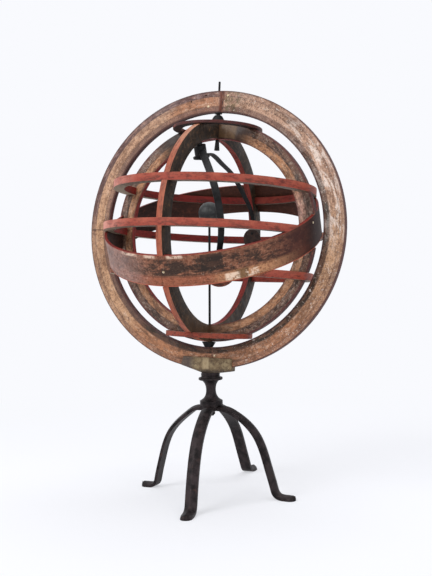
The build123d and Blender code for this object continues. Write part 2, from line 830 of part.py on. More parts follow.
with BuildPart() as moon_disc:
    disc(moon_place, moon_disc_radius)
save(moon_disc, "moon_disc")

with BuildPart() as sun_rivet:
    rivet(sun_place, sun_arm_thickness + disc_lift)
save(sun_rivet, "sun_rivet")

with BuildPart() as moon_rivet:
    rivet(moon_place, moon_arm_thickness + disc_lift)
save(moon_rivet, "moon_rivet")
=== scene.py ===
import bpy
import json
from math import cos, pi, radians
from mathutils import Matrix, Vector


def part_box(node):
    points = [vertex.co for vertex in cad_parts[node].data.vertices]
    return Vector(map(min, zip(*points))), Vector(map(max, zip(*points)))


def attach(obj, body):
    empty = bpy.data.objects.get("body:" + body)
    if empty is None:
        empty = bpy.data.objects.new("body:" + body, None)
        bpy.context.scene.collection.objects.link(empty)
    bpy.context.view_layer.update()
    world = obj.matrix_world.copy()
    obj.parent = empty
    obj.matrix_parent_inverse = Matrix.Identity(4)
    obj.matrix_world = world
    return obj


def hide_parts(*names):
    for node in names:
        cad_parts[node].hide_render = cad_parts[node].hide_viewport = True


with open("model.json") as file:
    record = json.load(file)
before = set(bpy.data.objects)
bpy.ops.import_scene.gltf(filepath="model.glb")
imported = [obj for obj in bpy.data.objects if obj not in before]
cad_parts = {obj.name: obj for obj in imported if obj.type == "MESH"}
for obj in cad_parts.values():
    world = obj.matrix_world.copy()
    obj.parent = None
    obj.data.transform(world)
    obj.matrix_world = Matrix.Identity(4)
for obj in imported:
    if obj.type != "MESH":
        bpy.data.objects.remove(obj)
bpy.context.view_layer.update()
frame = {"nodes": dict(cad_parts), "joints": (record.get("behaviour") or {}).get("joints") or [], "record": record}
nodes = frame["nodes"]
mm = 0.001


# shader maths: a wire is a socket that can stand in a sum
class Wire:
    def __init__(self, paint, socket):
        self.paint = paint
        self.socket = socket

    def maths(self, operation, *values):
        return self.paint.add("ShaderNodeMath", {"operation": operation}, dict(enumerate(values)))

    def __add__(self, other):
        return self.maths("ADD", self, other)

    def __radd__(self, other):
        return self.maths("ADD", other, self)

    def __sub__(self, other):
        return self.maths("SUBTRACT", self, other)

    def __rsub__(self, other):
        return self.maths("SUBTRACT", other, self)

    def __mul__(self, other):
        return self.maths("MULTIPLY", self, other)

    def __rmul__(self, other):
        return self.maths("MULTIPLY", other, self)

    def __truediv__(self, other):
        return self.maths("DIVIDE", self, other)

    def __rtruediv__(self, other):
        return self.maths("DIVIDE", other, self)

    def __abs__(self):
        return self.maths("ABSOLUTE", self)

    def over(self, other):
        return self.maths("GREATER_THAN", self, other)

    def under(self, other):
        return self.maths("LESS_THAN", self, other)

    def least(self, other):
        return self.maths("MINIMUM", self, other)

    def root(self):
        return self.maths("SQRT", self)

    def saw(self):
        return self.maths("FRACT", self)

    def cosine(self):
        return self.maths("COSINE", self)

    def angleTo(self, other):
        return self.maths("ARCTAN2", self, other)

    # 0 below low, 1 above high, soft between
    def step(self, low, high):
        inputs = {"Value": self, "From Min": low, "From Max": high}
        return self.paint.add("ShaderNodeMapRange", {"interpolation_type": "SMOOTHSTEP"}, inputs)

    # 1 between low and high, with a soft edge
    def within(self, low, high, soft):
        return self.step(low - soft, low + soft) * (1 - self.step(high - soft, high + soft))

    # 1 in a sector of degrees around a middle, this wire being an angle in degrees
    def sector(self, middle, half, soft=12):
        turned = ((self - middle) * (pi / 180)).cosine()
        return turned.step(cos(radians(min(half + soft, 179))), cos(radians(max(half - soft, 0))))


# a colour as an eye reads it, 0 to 255, made linear
def shade(red, green, blue):
    return tuple((value / 255 / 12.92) if value < 10.4 else ((value / 255 + 0.055) / 1.055) ** 2.4
                 for value in (red, green, blue))


# one material and its nodes
class Paint:
    def __init__(self, name):
        self.material = bpy.data.materials.new(name)
        self.material.use_nodes = True
        self.tree = self.material.node_tree
        self.shader = self.tree.nodes["Principled BSDF"]
        self.made = {}

    def add(self, kind, settings=None, inputs=None, output=0):
        node = self.tree.nodes.new(kind)
        for key, value in (settings or {}).items():
            setattr(node, key, value)
        for key, value in (inputs or {}).items():
            self.feed(node.inputs[key], value)
        return Wire(self, node.outputs[output])

    def feed(self, socket, value):
        if isinstance(value, Wire):
            self.tree.links.new(value.socket, socket)
        elif socket.type == "RGBA":
            socket.default_value = (*value, 1)
        else:
            socket.default_value = value

    # object coordinates, in the frame of a ring if one is given
    def place(self, ringFrame=None):
        key = id(ringFrame)
        if key not in self.made:
            spot = self.add("ShaderNodeTexCoord", output=3)
            if ringFrame is not None:
                inputs = {"Vector": spot, "Location": ringFrame.translation,
                          "Rotation": ringFrame.to_euler("XYZ")}
                spot = self.add("ShaderNodeMapping", {"vector_type": "TEXTURE"}, inputs)
            self.made[key] = spot
        return self.made[key]

    # the three coordinates of a place
    def split(self, place):
        return [self.add("ShaderNodeSeparateXYZ", None, {0: place}, i) for i in range(3)]

    # reach from a ring's axis, angle in degrees and height, with a vector that runs along the ring
    def around(self, ringFrame, stretch=5):
        x, y, z = self.split(self.place(ringFrame))
        reach = (x * x + y * y).root()
        turn = y.angleTo(x)
        inputs = {0: reach, 1: turn * (100 * mm / stretch), 2: z}
        return reach, turn * (180 / pi), z, self.add("ShaderNodeCombineXYZ", None, inputs)

    # cloudy noise of a feature size in millimetres
    def noise(self, size, seed, detail=5, rough=0.62, vector=None, warp=0.0):
        inputs = {"Vector": vector or self.place(), "W": seed, "Scale": 1 / (size * mm), "Detail": detail,
                  "Roughness": rough, "Distortion": warp}
        return self.add("ShaderNodeTexNoise", {"noise_dimensions": "4D"}, inputs)

    # rough blots of a size, 1 inside; a higher level leaves fewer of them
    def blots(self, size, seed, level, vector=None, soft=0.035):
        return self.noise(size, seed, 8, 0.78, vector, 0.4).step(level - soft, level + soft)

    # small round specks of a spacing in millimetres, 1 inside
    def specks(self, size, seed, reach):
        inputs = {"Vector": self.place(), "W": seed, "Scale": 1 / (size * mm)}
        return self.add("ShaderNodeTexVoronoi", {"voronoi_dimensions": "4D"}, inputs).under(reach)

    def mix(self, share, first, second):
        return self.add("ShaderNodeMix", {"data_type": "RGBA"}, {0: share, 6: first, 7: second}, 2)

    # colours laid over each other, each with its share
    def layers(self, colour, *coats):
        for share, coat in coats:
            colour = self.mix(share, colour, coat)
        return colour

    def bump(self, height, distance, strength=0.6):
        inputs = {"Height": height, "Distance": distance * mm, "Strength": strength}
        return self.add("ShaderNodeBump", None, inputs)

    def finish(self, colour, roughness, normal=None, metallic=None, coat=None, specular=0.3):
        self.shader.inputs["Specular IOR Level"].default_value = specular
        sockets = {"Base Color": colour, "Roughness": roughness, "Normal": normal, "Metallic": metallic,
                   "Coat Weight": coat}
        for key, value in sockets.items():
            if value is not None:
                self.feed(self.shader.inputs[key], value)
        return self.material


# frames of the rings, worked out from the joints; each frame's own Z axis is its ring's axis
def frameOf(origin, xAxis, yAxis, zAxis):
    turn = Matrix((xAxis, yAxis, zAxis)).transposed()
    return Matrix.Translation(origin) @ turn.to_4x4()


def joinedBox(*names):
    boxes = [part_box(name) for name in names]
    low = Vector([min(box[0][i] for box in boxes) for i in range(3)])
    high = Vector([max(box[1][i] for box in boxes) for i in range(3)])
    return low, high


joints = {joint["name"]: joint for joint in frame["joints"]}
sphereCentre = Vector(joints["sphere_spin"]["pos_m"])
polarAxis = Vector(joints["sphere_spin"]["axis"]).normalized()
eclipticAxis = Vector(joints["sun_turn"]["axis"]).normalized()
ringLow, ringHigh = joinedBox("meridian_left", "meridian_right")
meridianY = Vector((0, polarAxis.z, -polarAxis.y)).normalized()
celestialY = -(eclipticAxis - polarAxis * eclipticAxis.dot(polarAxis)).normalized()
celestialX = celestialY.cross(polarAxis)
meridianFrame = frameOf((ringLow + ringHigh) / 2, meridianY.cross(polarAxis), polarAxis, -meridianY)
celestialFrame = frameOf(sphereCentre, celestialX, celestialY, polarAxis)
equinoctialFrame = frameOf(sphereCentre, celestialX, polarAxis, -celestialY)
solstitialFrame = frameOf(sphereCentre, celestialY, polarAxis, celestialX)
eclipticFrame = frameOf(sphereCentre, celestialX, eclipticAxis.cross(celestialX), eclipticAxis)
print("frames ready")


def activate(piece):
    bpy.ops.object.select_all(action="DESELECT")
    piece.select_set(True)
    bpy.context.view_layer.objects.active = piece


def applyAll(piece):
    activate(piece)
    for modifier in list(piece.modifiers):
        bpy.ops.object.modifier_apply(modifier=modifier.name)


# how a copy is cleaned, cut and smoothed: millimetres, degrees and shares of a sector
copying = {"merge": 0.004, "flat": 0.4, "sectors": 24, "firstCut": 0.1, "segments": 2, "sharp": 35,
           "smooth": 30}


# a merged copy of a CAD node with its edges rounded; a ring's faces are first cut into sectors
def roundedCopy(name, node, width, ringFrame=None, shape=None):
    piece = nodes[node].copy()
    piece.data = nodes[node].data.copy()
    piece.name = piece.data.name = name
    piece.hide_render = piece.hide_viewport = False
    for key in [key for key in piece.keys() if key.startswith("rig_")]:
        del piece[key]
    piece.parent = None
    piece.data.materials.clear()
    bpy.context.scene.collection.objects.link(piece)
    activate(piece)
    bpy.ops.object.mode_set(mode="EDIT")
    bpy.ops.mesh.select_all(action="SELECT")
    bpy.ops.mesh.remove_doubles(threshold=copying["merge"] * mm)
    bpy.ops.mesh.dissolve_limited(angle_limit=radians(copying["flat"]))
    if ringFrame is not None:
        for i in range(copying["sectors"]):
            turn = Matrix.Rotation(pi * (i + copying["firstCut"]) / copying["sectors"], 3, "Z")
            across = ringFrame.to_3x3() @ turn @ Vector((0, 1, 0))
            bpy.ops.mesh.select_all(action="SELECT")
            bpy.ops.mesh.bisect(plane_co=ringFrame.translation, plane_no=across)
    if shape is not None:
        shape(piece)
    bpy.ops.object.mode_set(mode="OBJECT")
    if width:
        bevel = piece.modifiers.new("rounding", "BEVEL")
        bevel.width = width * mm
        bevel.segments = copying["segments"]
        bevel.limit_method = "ANGLE"
        bevel.angle_limit = radians(copying["sharp"])
        applyAll(piece)
    bpy.ops.object.shade_smooth_by_angle(angle=radians(copying["smooth"]))
    piece.modifiers.new("flat faces", "WEIGHTED_NORMAL").keep_sharp = True
    applyAll(piece)
    return piece


# worn toes: the upper edge round each toe's end is taken well down. The round's middle lies past the
# foot's mount by the inset; slack is for the mesh's own facets, slope for edges that run down a side.
toeWear = {"radius": 5.75, "inset": 0.25, "slack": 0.05, "lowest": 2.2, "highest": 6, "slope": 0.6,
           "depth": 2.3, "segments": 4}


# whether both ends of an edge, given from the round's middle, lie on the round's upper edge
def onToeEdge(ends, outward):
    slack = toeWear["slack"] * mm
    for end in ends:
        if abs(end.to_2d().length - toeWear["radius"] * mm) > slack or end.dot(outward) < -slack:
            return False
    height = (ends[0].z + ends[1].z) / 2 / mm
    drop = abs(ends[0].z - ends[1].z)
    level = drop < toeWear["slope"] * (ends[0] - ends[1]).length
    return level and toeWear["lowest"] < height < toeWear["highest"]


def wearToes(piece):
    bpy.ops.mesh.select_mode(type="EDGE")
    bpy.ops.mesh.select_all(action="DESELECT")
    bpy.ops.object.mode_set(mode="OBJECT")
    low, high = joinedBox("tang")
    for foot in frame["record"]["mounts"]:
        spot = Vector(foot["pos_m"])
        outward = spot - (low + high) / 2
        outward.z = 0
        outward.normalize()
        middle = spot + outward * toeWear["inset"] * mm
        for edge in piece.data.edges:
            ends = [piece.data.vertices[i].co - middle for i in edge.vertices]
            edge.select = edge.select or onToeEdge(ends, outward)
    bpy.ops.object.mode_set(mode="EDIT")
    bpy.ops.mesh.bevel(offset=toeWear["depth"] * mm, segments=toeWear["segments"], affect="EDGES")


# the shoe's left end, cut back above and below where its corners are worn: how far in along its top, how
# far up its side, and the way that each cut faces
shoeWear = {"top": 2.9, "topFacing": (-0.948, 0, 0.32), "side": 8.6, "sideFacing": (-0.305, 0, -0.952)}


def trimShoe(piece):
    low, high = joinedBox("saddle_bed", "saddle_cheek_front", "saddle_cheek_back")
    upper = Vector((low.x + shoeWear["top"] * mm, 0, high.z))
    lower = Vector((low.x, 0, low.z + shoeWear["side"] * mm))
    for spot, facing in ((upper, shoeWear["topFacing"]), (lower, shoeWear["sideFacing"])):
        bpy.ops.mesh.select_all(action="SELECT")
        bpy.ops.mesh.bisect(plane_co=spot, plane_no=facing, clear_outer=True, use_fill=True)


# how squarely a face looks along or away from its ring's axis, as a cosine
facings = {"paper": 0.999, "flat": 0.98, "side": 0.9}


# the printed paper on a ring's flat faces: a thin sheet that stops short of the board's rim
def raisePaper(piece, ringFrame, inset, lift):
    axis = ringFrame.to_3x3() @ Vector((0, 0, 1))
    for side in (1, -1):
        activate(piece)
        bpy.ops.object.mode_set(mode="EDIT")
        bpy.ops.mesh.select_mode(type="FACE")
        bpy.ops.mesh.select_all(action="DESELECT")
        bpy.ops.object.mode_set(mode="OBJECT")
        for polygon in piece.data.polygons:
            polygon.select = polygon.normal.dot(axis) * side > facings["paper"]
        bpy.ops.object.mode_set(mode="EDIT")
        bpy.ops.mesh.inset(thickness=inset * mm, use_even_offset=False)
        bpy.ops.transform.translate(value=axis * (side * lift * mm))
        bpy.ops.object.mode_set(mode="OBJECT")


bodyOf = {name: body for body, names in frame["record"]["behaviour"]["bodies"].items() for name in names}


def mount(piece, node):
    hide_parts(node)
    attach(piece, bodyOf[node])


# each face of a ring takes the material of the way it faces: flat, out, in, or the rounding between
def paintRing(piece, ringFrame, flat, out, inner, rounding):
    for material in (flat, out, inner, rounding):
        piece.data.materials.append(material)
    axis = ringFrame.to_3x3() @ Vector((0, 0, 1))
    for polygon in piece.data.polygons:
        spoke = polygon.center - ringFrame.translation
        spoke = (spoke - axis * spoke.dot(axis)).normalized()
        looksOut = polygon.normal.dot(spoke)
        if abs(polygon.normal.dot(axis)) > facings["flat"]:
            polygon.material_index = 0
        elif looksOut > facings["side"]:
            polygon.material_index = 1
        elif looksOut < -facings["side"]:
            polygon.material_index = 2
        else:
            polygon.material_index = 3


# painted board edge: a painted highlight along its upper side, dirt heavier on its lower side that is partly
# painted shade, a paler painted highlight on the side toward the light, streaks and chips; level is the height of
# the ring's middle
def edgePaint(name, ringFrame, look, seed, level=0.0):
    paint = Paint(name)
    _, angle, height, along = paint.around(ringFrame, 4)
    streak = paint.noise(1.8, seed, 7, 0.72, along)
    broad = paint.noise(12, seed + 1, 5, 0.6)
    # the edge's upper half, from the ring's middle: a painted highlight above and, through the dirt below, painted
    # shade
    upper = ((height - level) / (3 * mm)).step(-0.9, 0.9)
    # a paler sector on the side toward the light, broken up by noise: painted highlight
    paintedHighlightSector = angle.sector(look["paleAt"], look["paleHalf"], 25) * (0.35 + broad.step(0.35, 0.6) * 0.6)
    colour = paint.layers(
        look["deep"],
        (streak.step(0.36, 0.52), look["red"]),
        # bright coat on the upper half: painted highlight
        (upper * broad.step(0.36, 0.6) * 0.55, look["bright"]),
        # pale sector toward the light: painted highlight
        (paintedHighlightSector, look["pale"]),
        # dirt blots, heavier on the lower half: real dirt, with painted shade below
        (paint.blots(5, seed + 2, 0.55, along) * look["dirt"] * (1 - upper * 0.45), look["grime"]),
        (paint.blots(2, seed + 5, 0.57) * look["dirt"] * 0.6, look["deep"]),
        (paint.blots(1.6, seed + 3, 0.64) * 0.6, look["chip"]))
    bump = paint.bump(streak * 0.6 + paint.noise(0.8, seed + 4, 4) * 0.4, 0.16)
    return paint.finish(colour, 0.46 + broad * 0.25, bump)


# the bright colour paints a highlight on an edge's upper half, pale a highlight on the side toward the light, and
# the dark dirt colour also paints shade on the lower half
edgeLooks = {
    "coral": {
        "deep": shade(96, 36, 28), "red": shade(152, 66, 50), "bright": shade(180, 96, 74),
        "pale": shade(214, 146, 130), "paleAt": 196, "paleHalf": 34, "dirt": 0.7,
        "grime": shade(72, 40, 30), "chip": shade(214, 160, 124)},
    "salmon": {
        "deep": shade(98, 46, 34), "red": shade(156, 80, 56), "bright": shade(176, 104, 76),
        "pale": shade(176, 130, 100), "paleAt": 92, "paleHalf": 34, "dirt": 0.75,
        "grime": shade(76, 50, 38), "chip": shade(226, 200, 172)},
    "crimson": {
        "deep": shade(54, 14, 11), "red": shade(122, 28, 22), "bright": shade(142, 42, 32),
        "pale": shade(146, 60, 46), "paleAt": 60, "paleHalf": 20, "dirt": 0.6,
        "grime": shade(34, 20, 16), "chip": shade(124, 78, 58)},
    "maroon": {
        "deep": shade(32, 15, 14), "red": shade(76, 30, 27), "bright": shade(92, 42, 36),
        "pale": shade(112, 58, 50), "paleAt": 200, "paleHalf": 20, "dirt": 0.7,
        "grime": shade(28, 18, 16), "chip": shade(156, 112, 90)},
    "russet": {
        "deep": shade(76, 30, 22), "red": shade(140, 60, 42), "bright": shade(160, 80, 58),
        "pale": shade(172, 108, 84), "paleAt": 180, "paleHalf": 30, "dirt": 0.6,
        "grime": shade(62, 38, 28), "chip": shade(210, 178, 146)},
}


# rubbed rounding between a face and an edge
def roundingPaint(name, dark, pale, seed):
    paint = Paint(name)
    colour = paint.mix(paint.noise(3, seed, 6, 0.7).step(0.4, 0.62), dark, pale)
    return paint.finish(colour, 0.62, paint.bump(paint.noise(0.9, seed + 1, 4), 0.15))


# fine lines and ticks of a divided circle, broken where the print is worn
def printedScale(paint, ringFrame, across, angle, scale, seed):
    lines = sum(abs(across - line).under(scale["line"]) for line in scale["lines"])
    degree = abs(angle.saw() - 0.5).over(0.5 - scale["tick"]) * across.within(*scale["degrees"], 0.002)
    fifth = abs((angle / 5).saw() - 0.5).over(0.5 - scale["tick"] / 4) * across.within(*scale["fives"], 0.002)
    worn = paint.noise(3, seed, 5, 0.65, paint.place(ringFrame)).step(0.38, 0.5)
    return (lines + degree + fifth).least(1) * worn


# meridian: gold print, mauve belt at the upper left, plum scale inside, rubbed pale on the right, where the pale
# blots are partly wear and partly painted varnish glints
meridianLook = {
    "inner": 118.3, "outer": 140, "rounding": 0.45, "paperInset": 0.7, "paperLift": 0.12,
    "gold": shade(198, 154, 118), "pink": shade(196, 156, 134), "orange": shade(172, 112, 76),
    "light": shade(230, 200, 176), "brown": shade(104, 70, 50), "mauve": shade(124, 98, 96),
    "maroon": shade(70, 42, 40), "plum": shade(136, 102, 92), "umber": shade(84, 56, 38),
    # the pale rubbed colour further on this line also paints varnish glints on the right
    "olive": shade(40, 32, 22), "scuff": shade(244, 228, 216), "ink": shade(48, 33, 27),
    "rust": shade(92, 42, 24), "rim": shade(64, 32, 32), "green": shade(84, 74, 40),
    "scale": {"lines": (0.06, 0.27, 0.3, 0.73, 0.755), "line": 0.007, "degrees": (0.2, 0.27),
              "fives": (0.11, 0.27), "tick": 0.09},
}


def meridianPaint(look, seed):
    paint = Paint("meridian print")
    reach, angle, _, along = paint.around(meridianFrame, 3)
    across = (reach - look["inner"] * mm) / ((look["outer"] - look["inner"]) * mm)
    streak = paint.noise(2.2, seed, 7, 0.74, along)
    mottle = paint.noise(6, seed + 1, 7, 0.74, paint.place(), 0.5)
    grain = paint.noise(0.9, seed + 2, 5, 0.7)
    right = angle.sector(-22, 62, 22)
    foot = angle.sector(-96, 30, 10)
    browned = (angle.sector(-68, 30, 20) + angle.sector(-112, 14, 10) + angle.sector(100, 10, 8)).least(1)
    middle = across.within(0.3, 0.92, 0.06)
    belt = across.step(0.69, 0.76) * (0.2 + angle.sector(132, 44, 9) * 0.75)
    scale = 1 - across.step(0.24, 0.32)
    rubbed = angle.sector(24, 25, 12) * (0.35 + middle * 0.65)
    inked = across.within(0.5, 0.72, 0.02) * angle.sector(66, 22, 3) * paint.blots(1.2, seed + 9, 0.52)
    rims = (across.step(0.935, 0.98) + 1 - across.step(0.03, 0.1)).least(1)
    printed = printedScale(paint, meridianFrame, across, angle, look["scale"], seed + 6)
    colour = paint.layers(
        look["gold"],
        (angle.sector(58, 46, 18) * 0.75, look["pink"]),
        (angle.sector(138, 26, 14) * 0.4, look["pink"]),
        (browned * 0.8, look["orange"]),
        (streak.step(0.5, 0.62) * 0.45, look["light"]),
        (paint.blots(7, seed + 3, 0.53, along) * 0.55, look["brown"]),
        (paint.blots(3, seed + 4, 0.53) * 0.6, look["brown"]),
        (belt * (0.65 + mottle.step(0.4, 0.6) * 0.35), look["mauve"]),
        (belt * paint.blots(4, seed + 5, 0.48, along) * 0.85, look["maroon"]),
        (scale * (0.5 + mottle.step(0.4, 0.6) * 0.3), look["plum"]),
        (scale * angle.sector(-122, 36, 12) * 0.55, look["maroon"]),
        (scale * (right + foot).least(1) * 0.75, look["umber"]),
        (scale * paint.blots(4, seed + 7, 0.5, along) * (0.3 + (right + foot).least(1) * 0.6), look["olive"]),
        (paint.blots(1.7, seed + 8, 0.58) * 0.55, look["umber"]),
        (inked * 0.7, look["ink"]),
        (foot * paint.blots(8, seed + 10, 0.54) * 0.6, look["umber"]),
        (angle.sector(82, 3.5, 1.5) * paint.blots(5, seed + 11, 0.5) * 0.7, look["green"]),
        # pale blots on the rubbed right side: wear, and painted varnish glints
        (rubbed * paint.blots(5, seed + 12, 0.535, along, 0.05) * 0.75, look["scuff"]),
        # pale blots over the right half: wear, and painted varnish glints
        (angle.sector(8, 90, 30) * paint.blots(2.6, seed + 13, 0.6) * 0.75, look["scuff"]),
        (angle.sector(20, 70, 20) * paint.blots(1.5, seed + 15, 0.57) * 0.6, look["umber"]),
        (paint.specks(2.6, seed + 14, 0.26) * grain.step(0.4, 0.55) * 0.6, look["ink"]),
        (printed * 0.6, look["ink"]),
        (angle.sector(87.3, 0.9, 0.7) * mottle.step(0.3, 0.5), look["rust"]),
        (angle.sector(180.5, 0.2, 0.15) * 0.7, look["ink"]),
        (rims * 0.85, look["rim"]))
    bump = paint.bump(streak * 0.3 + grain * 0.35 + mottle * 0.4 - printed * 0.2, 0.2)
    return paint.finish(colour, 0.66 - mottle * 0.3, bump, coat=0.06 + rubbed * 0.14)


meridianPaints = (
    meridianPaint(meridianLook, 12.0),
    edgePaint("meridian outer edge", meridianFrame, edgeLooks["maroon"], 14.0),
    edgePaint("meridian inner edge", meridianFrame, edgeLooks["maroon"], 18.0),
    roundingPaint("meridian rounding", shade(50, 27, 25), shade(140, 98, 78), 22.0))
for side in ("left", "right"):
    node = "meridian_" + side
    piece = roundedCopy("meridian" + side.capitalize(), node, meridianLook["rounding"], meridianFrame)
    raisePaper(piece, meridianFrame, meridianLook["paperInset"], meridianLook["paperLift"])
    paintRing(piece, meridianFrame, *meridianPaints)
    mount(piece, node)
print("meridian ready")

# equinoctial colure: tan print inside, brown scale outside, dark crown with a dull patch
colureLook = {
    "inner": 93.4, "outer": 110.4, "rounding": 0.4, "paperInset": 0.6, "paperLift": 0.1,
    "tan": shade(190, 136, 98), "light": shade(224, 184, 152), "brown": shade(88, 52, 36),
    "scale": shade(104, 78, 68), "fleck": shade(172, 152, 136), "soot": shade(46, 31, 25),
    "crown": shade(42, 27, 21), "patch": shade(104, 78, 52), "maroon": shade(82, 34, 34),
    "ink": shade(40, 26, 20), "rose": shade(206, 160, 148),
    "marks": {"lines": (0.09, 0.5, 0.53, 0.86), "line": 0.009, "degrees": (0.53, 0.66),
              "fives": (0.53, 0.78), "tick": 0.1},
}


def equinoctialPaint(look, seed):
    paint = Paint("equinoctial print")
    reach, angle, _, along = paint.around(equinoctialFrame, 3)
    across = (reach - look["inner"] * mm) / ((look["outer"] - look["inner"]) * mm)
    streak = paint.noise(2, seed, 7, 0.72, along)
    mottle = paint.noise(4.5, seed + 1, 7, 0.75, paint.place(), 0.5)
    grain = paint.noise(0.9, seed + 2, 5, 0.7)
    outer = across.step(0.46, 0.54)
    crown = angle.sector(97, 28, 7)
    patch = angle.sector(83, 5.5, 1) * across.within(0.1, 0.9, 0.03)
    printed = printedScale(paint, equinoctialFrame, across, angle, look["marks"], seed + 6)
    colour = paint.layers(
        look["tan"],
        (angle.sector(8, 12, 8) * 0.8, look["rose"]),
        (streak.step(0.48, 0.62) * 0.55, look["light"]),
        (paint.blots(5, seed + 7, 0.52, along) * 0.6, look["brown"]),
        (paint.blots(2.6, seed + 8, 0.54) * 0.6, look["brown"]),
        (outer * (0.7 + mottle.step(0.4, 0.6) * 0.3), look["scale"]),
        (paint.blots(2.4, seed + 3, 0.55) * (0.25 + outer * 0.5), look["fleck"]),
        (paint.blots(4, seed + 4, 0.54, along) * (0.45 + outer * 0.4), look["soot"]),
        (across.step(0.86, 0.93) * 0.8, look["maroon"]),
        (printed * 0.6, look["ink"]),
        (crown * 0.93, look["crown"]),
        (patch * (0.45 + mottle.step(0.35, 0.6) * 0.5), look["patch"]),
        (angle.sector(-92, 14, 8) * 0.7, look["crown"]),
        (paint.blots(1.3, seed + 9, 0.6) * 0.5, look["ink"]),
        ((1 - across.step(0.02, 0.08)) * 0.8, look["maroon"]))
    bump = paint.bump(streak * 0.3 + grain * 0.35 + mottle * 0.4 - printed * 0.2, 0.2)
    return paint.finish(colour, 0.66 - mottle * 0.28, bump, coat=0.06)


# plain faces, dusty or browned: those of the solstitial colure, the parallels and the band's inside
def dustyPaint(name, ringFrame, look, seed):
    paint = Paint(name)
    _, angle, _, along = paint.around(ringFrame)
    mottle = paint.noise(5, seed, 7, 0.75, paint.place(), 0.5)
    streak = paint.noise(1.8, seed + 1, 6, 0.7, along)
    colour = paint.layers(
        look["dark"],
        (streak.step(0.42, 0.62) * 0.8, look["mid"]),
        (mottle.step(0.52, 0.66) * 0.7, look["pale"]),
        (angle.sector(look["paleAt"], look["paleHalf"], 20) * look["paleShare"], look["pale"]),
        (paint.specks(1.8, seed + 2, 0.2) * 0.5, look["pale"]))
    bump = paint.bump(streak * 0.5 + paint.noise(0.9, seed + 3, 4) * 0.5, 0.18)
    return paint.finish(colour, 0.72 - mottle * 0.2, bump)


dustyLooks = {
    "solstitial": {
        "dark": shade(32, 23, 17), "mid": shade(60, 45, 32), "pale": shade(106, 76, 50),
        "paleAt": -92, "paleHalf": 18, "paleShare": 0.35},
    "parallel": {
        "dark": shade(88, 72, 62), "mid": shade(132, 114, 98), "pale": shade(176, 160, 138),
        "paleAt": 190, "paleHalf": 35, "paleShare": 0.5},
    "arctic": {
        "dark": shade(30, 22, 21), "mid": shade(58, 36, 32), "pale": shade(88, 58, 48),
        "paleAt": 190, "paleHalf": 20, "paleShare": 0.3},
    "antarctic": {
        "dark": shade(72, 42, 36), "mid": shade(112, 70, 56), "pale": shade(150, 116, 98),
        "paleAt": 190, "paleHalf": 30, "paleShare": 0.4},
    "bandInside": {
        "dark": shade(36, 19, 15), "mid": shade(66, 36, 27), "pale": shade(112, 62, 42),
        "paleAt": 90, "paleHalf": 40, "paleShare": 0.3},
}

colurePaint = equinoctialPaint(colureLook, 30.0)
solstitialPaint = dustyPaint("solstitial face", solstitialFrame, dustyLooks["solstitial"], 36.0)
colures = {
    "equinoctial": (equinoctialFrame, colurePaint, "maroon", "crimson"),
    "solstitial": (solstitialFrame, solstitialPaint, "salmon", "crimson"),
}
for kind, (ringFrame, face, out, inner) in colures.items():
    piece = roundedCopy(kind + "Colure", kind + "_colure", colureLook["rounding"], ringFrame)
    raisePaper(piece, ringFrame, colureLook["paperInset"], colureLook["paperLift"])
    paintRing(piece, ringFrame, face, edgePaint(kind + " outer edge", ringFrame, edgeLooks[out], 40.0),
              edgePaint(kind + " inner edge", ringFrame, edgeLooks[inner], 44.0),
              roundingPaint(kind + " rounding", shade(74, 36, 28), shade(146, 94, 70), 48.0))
    mount(piece, kind + "_colure")
print("colures ready")

# parallels: the looks of face, outer and inner edge, and the rounding in millimetres
parallels = {
    "equator": ("parallel", "coral", "crimson", 0.4),
    "tropic_of_cancer": ("parallel", "coral", "crimson", 0.4),
    "tropic_of_capricorn": ("parallel", "coral", "crimson", 0.4),
    "arctic_ring": ("arctic", "maroon", "maroon", 0.3),
    "antarctic_ring": ("antarctic", "russet", "crimson", 0.35),
}
for seed, (node, (face, out, inner, rounding)) in enumerate(parallels.items()):
    words = node.replace("_", " ")
    low, high = joinedBox(node)
    level = (celestialFrame.inverted() @ ((low + high) / 2)).z
    piece = roundedCopy("ring_" + node, node, rounding, celestialFrame)
    paintRing(piece, celestialFrame,
              dustyPaint(words + " face", celestialFrame, dustyLooks[face], 50.0 + seed),
              edgePaint(words + " outer edge", celestialFrame, edgeLooks[out], 60.0 + seed, level),
              edgePaint(words + " inner edge", celestialFrame, edgeLooks[inner], 70.0 + seed, level),
              roundingPaint(words + " rounding", shade(84, 42, 32), shade(160, 112, 84), 80.0 + seed))
    mount(piece, node)
print("parallel rings ready")

# ecliptic band: mauve at the left, sooty middle, ochre print at the lower right, maroon end, darkened further by
# painted shade where it turns away on the right
bandLook = {
    "rounding": 0.35, "specular": 0.22,
    "brown": shade(124, 80, 60), "tan": shade(172, 118, 90), "mauve": shade(170, 138, 128),
    "slate": shade(96, 84, 84), "soot": shade(40, 31, 26), "ochre": shade(194, 142, 102),
    "cream": shade(234, 206, 182), "end": shade(62, 28, 25), "orange": shade(158, 88, 62),
    "foot": shade(178, 92, 70), "top": shade(142, 62, 48), "ink": shade(38, 26, 21),
    # the near-black last colour on this line is painted shade for the band's turned-away right end
    "rust": shade(110, 60, 40), "olive": shade(92, 72, 44), "night": shade(34, 17, 15),
}


